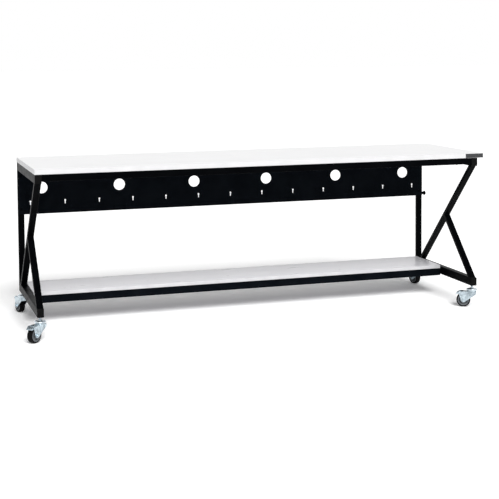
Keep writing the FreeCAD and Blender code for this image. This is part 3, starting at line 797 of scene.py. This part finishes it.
def ribbed_hub(name, axle):
    """A wheel's hub, with ribs on both sides of its web."""
    form = Form()
    form.lathe(HUB, axle, HUB_SIDES)
    levels = []
    for width, corner, level in RIB_LEVELS:
        levels.append((rounded(RIB_LENGTH, width, corner, RIB_CORNER_STEPS), level))
    for rib in range(RIB_COUNT):
        spoke = Matrix.Rotation(rib * 2 * math.pi / RIB_COUNT, 4, "Z")
        for flip in (0, math.pi):
            turn = Matrix.Rotation(flip, 4, "X") @ spoke
            form.loft(levels, axle @ turn @ Matrix.Translation((RIB_MID_RADIUS, 0, 0)))
    form.done(name + "_ribbed_hub", name + "_wheel", "wheel_hub", name + "_caster_hub")


def pedal_rivets(name, pin_at, cross):
    """Two rivet heads, one on each side of the fork."""
    form = Form()
    for face in (-1, 1):
        seat = pin_at + cross * face * FORK_HALF
        form.lathe(RIVET, facing(seat, cross * face), RIVET_SIDES)
    form.done(name + "_pedal_rivets", name + "_pedal", "zinc_steel")


def pedal_pad(name, upright):
    """A ribbed pad on the pedal's upper face."""
    out = Vector((-PAD_RUN.z, 0, PAD_RUN.x))
    turn = Matrix((PAD_RUN, out.cross(PAD_RUN), out)).transposed().to_4x4()
    pad = upright @ Matrix.Translation(PAD_START + PAD_RUN * PAD_LENGTH / 2) @ turn
    form = Form()
    form.loft(stepped(PAD_LENGTH, PAD_WIDTH, PAD_LEVELS), pad)
    rib_length = PAD_WIDTH - 2 * PAD_RIB_SIDE
    levels = stepped(PAD_RIB_WIDTH, rib_length, PAD_RIB_LEVELS, PAD_RIB_CORNER_STEPS)
    last = PAD_LENGTH / 2 - PAD_RIB_END
    for along in spread(-last, last, PAD_RIBS):
        form.loft(levels, pad @ Matrix.Translation((along, 0, 0)))
    form.done(name + "_pedal_pad", name + "_pedal", "zinc_steel")


for name in CASTERS:
    stem_at = Vector(JOINTS[name + "_swivel_turn"]["pos_m"]) / MM
    wheel_at = Vector(JOINTS[name + "_wheel_spin"]["pos_m"]) / MM
    pin_at = Vector(JOINTS[name + "_pedal_press"]["pos_m"]) / MM
    heading = math.atan2(wheel_at.y - stem_at.y, wheel_at.x - stem_at.x)
    upright = Matrix.Translation((stem_at.x, stem_at.y, 0)) @ Matrix.Rotation(heading, 4, "Z")
    cross = Matrix.Rotation(heading, 3, "Z") @ Y
    axle = facing(wheel_at, cross)
    node = name + "_caster_"
    turned(
        name + "_moulded_tyre", name + "_wheel", "wheel_tyre", node + "tyre",
        axle, [(TYRE, TYRE_SIDES)],
    )
    ribbed_hub(name, axle)
    turned(
        name + "_axle_bolt", name + "_swivel", "zinc_steel", node + "axle",
        axle, [(AXLE_BOLT, AXLE_SIDES)],
    )
    # The stem and cup wear the brighter copy of the zinc, which is painted light.
    turned(
        name + "_threaded_stem", "bench", "zinc_steel", node + "stem",
        upright, [(STEM, STEM_SIDES), (CUP, CUP_SIDES)], "stem_steel_painted_light",
    )
    pedal_rivets(name, pin_at, cross)
    pedal_pad(name, upright)


# ------------------------------------------------------------------ camera and light
def look_along(yaw, pitch, roll):
    """A camera's rotation: yaw from +Y towards +X, pitch down, roll, in degrees."""
    heading, tilt, lean = (math.radians(angle) for angle in (yaw, pitch, roll))
    forward = Vector((
        math.sin(heading) * math.cos(tilt), math.cos(heading) * math.cos(tilt), -math.sin(tilt),
    ))
    level = Vector((math.cos(heading), -math.sin(heading), 0))
    up = level.cross(forward)
    right = level * math.cos(lean) + up * math.sin(lean)
    return Matrix((right, right.cross(forward), -forward)).transposed()


# The camera, solved from the photo: its place in metres, its turn in degrees, and its lens and
# sensor in millimetres.
CAMERA_AT = (-1.9933, -6.2970, 1.4522)
CAMERA_TURN = look_along(yaw=17.652, pitch=3.788, roll=-0.404)
LENS = 88.117
SENSOR_WIDTH = 36
SHIFT_Y = -0.25
CLIP_START = 0.1
CLIP_END = 200

camera = bpy.data.objects.new("camera", bpy.data.cameras.new("camera"))
bpy.context.scene.collection.objects.link(camera)
bpy.context.scene.camera = camera
camera.data.sensor_width = SENSOR_WIDTH
camera.data.lens = LENS
camera.data.shift_y = SHIFT_Y
camera.data.clip_start = CLIP_START
camera.data.clip_end = CLIP_END
camera.matrix_world = Matrix.Translation(CAMERA_AT) @ CAMERA_TURN.to_4x4()


# A white studio. The camera sees pure white, surfaces are lit by a weaker world, and reflections
# see white round the horizon and a dimmer ceiling. It dims between two heights of a ray's
# direction, on a scale of 0 for level and 1 for straight up.
WORLD_LIGHT = 0.36
CEILING_LIGHT = 0.35
CEILING_FROM = 0.3
CEILING_TO = 0.8
world = bpy.data.worlds.new("studio")
bpy.context.scene.world = world
world.use_nodes = True
studio = Tree(world.node_tree)
height = studio.add("ShaderNodeSeparateXYZ")
studio.put(height.inputs["Vector"], studio.add("ShaderNodeTexCoord").outputs["Generated"])
ceiling = studio.span(height.outputs["Z"], 1.0, CEILING_LIGHT, (CEILING_FROM, CEILING_TO))
rays = studio.add("ShaderNodeLightPath").outputs
lit = studio.span(rays["Is Glossy Ray"], WORLD_LIGHT, ceiling, (0.0, 1.0))
straight = studio.highest(rays["Is Camera Ray"], rays["Is Transmission Ray"])
backdrop = world.node_tree.nodes["Background"].inputs
studio.put(backdrop["Color"], (1.0, 1.0, 1.0))
studio.put(backdrop["Strength"], studio.span(straight, lit, 1.0, (0.0, 1.0)))


def sun(name, azimuth, elevation, strength, spread_angle):
    """A soft lamp far away. Azimuth 0 is in front of the table and positive is to its right."""
    lamp = bpy.data.lights.new(name, "SUN")
    lamp.energy = strength
    lamp.angle = math.radians(spread_angle)
    item = bpy.data.objects.new(name, lamp)
    bpy.context.scene.collection.objects.link(item)
    turn, rise = math.radians(azimuth), math.radians(elevation)
    level = math.cos(rise)
    towards = Vector((math.sin(turn) * level, -math.cos(turn) * level, math.sin(rise)))
    item.rotation_euler = towards.to_track_quat("Z", "Y").to_euler()


sun("key", azimuth=0, elevation=42, strength=2.9, spread_angle=30)

# The floor is pure white where the camera sees it, straight or mirrored, and a little darker in
# the light that it throws back on the table.
FLOOR_REACH = 60
FLOOR_SEEN = (1.25, 1.25, 1.25)
FLOOR_BOUNCE = (0.935, 0.935, 0.9381)
floor_mesh = bpy.data.meshes.new("floor")
corners = [(x * FLOOR_REACH, y * FLOOR_REACH, 0) for x, y in ((-1, -1), (1, -1), (1, 1), (-1, 1))]
floor_mesh.from_pydata(corners, [], [(0, 1, 2, 3)])
floor = bpy.data.objects.new("floor", floor_mesh)
bpy.context.scene.collection.objects.link(floor)
paint = Shader("floor")
diffuse = paint.add("ShaderNodeBsdfDiffuse")
rays = paint.add("ShaderNodeLightPath").outputs
seen = paint.highest(rays["Is Camera Ray"], rays["Is Glossy Ray"], rays["Is Transmission Ray"])
paint.put(diffuse.inputs["Color"], paint.mixed(seen, FLOOR_BOUNCE, FLOOR_SEEN))
paint.put(paint.out.inputs["Surface"], diffuse.outputs[0])
floor_mesh.materials.append(paint.material)

bpy.context.scene.view_settings.view_transform = "Standard"
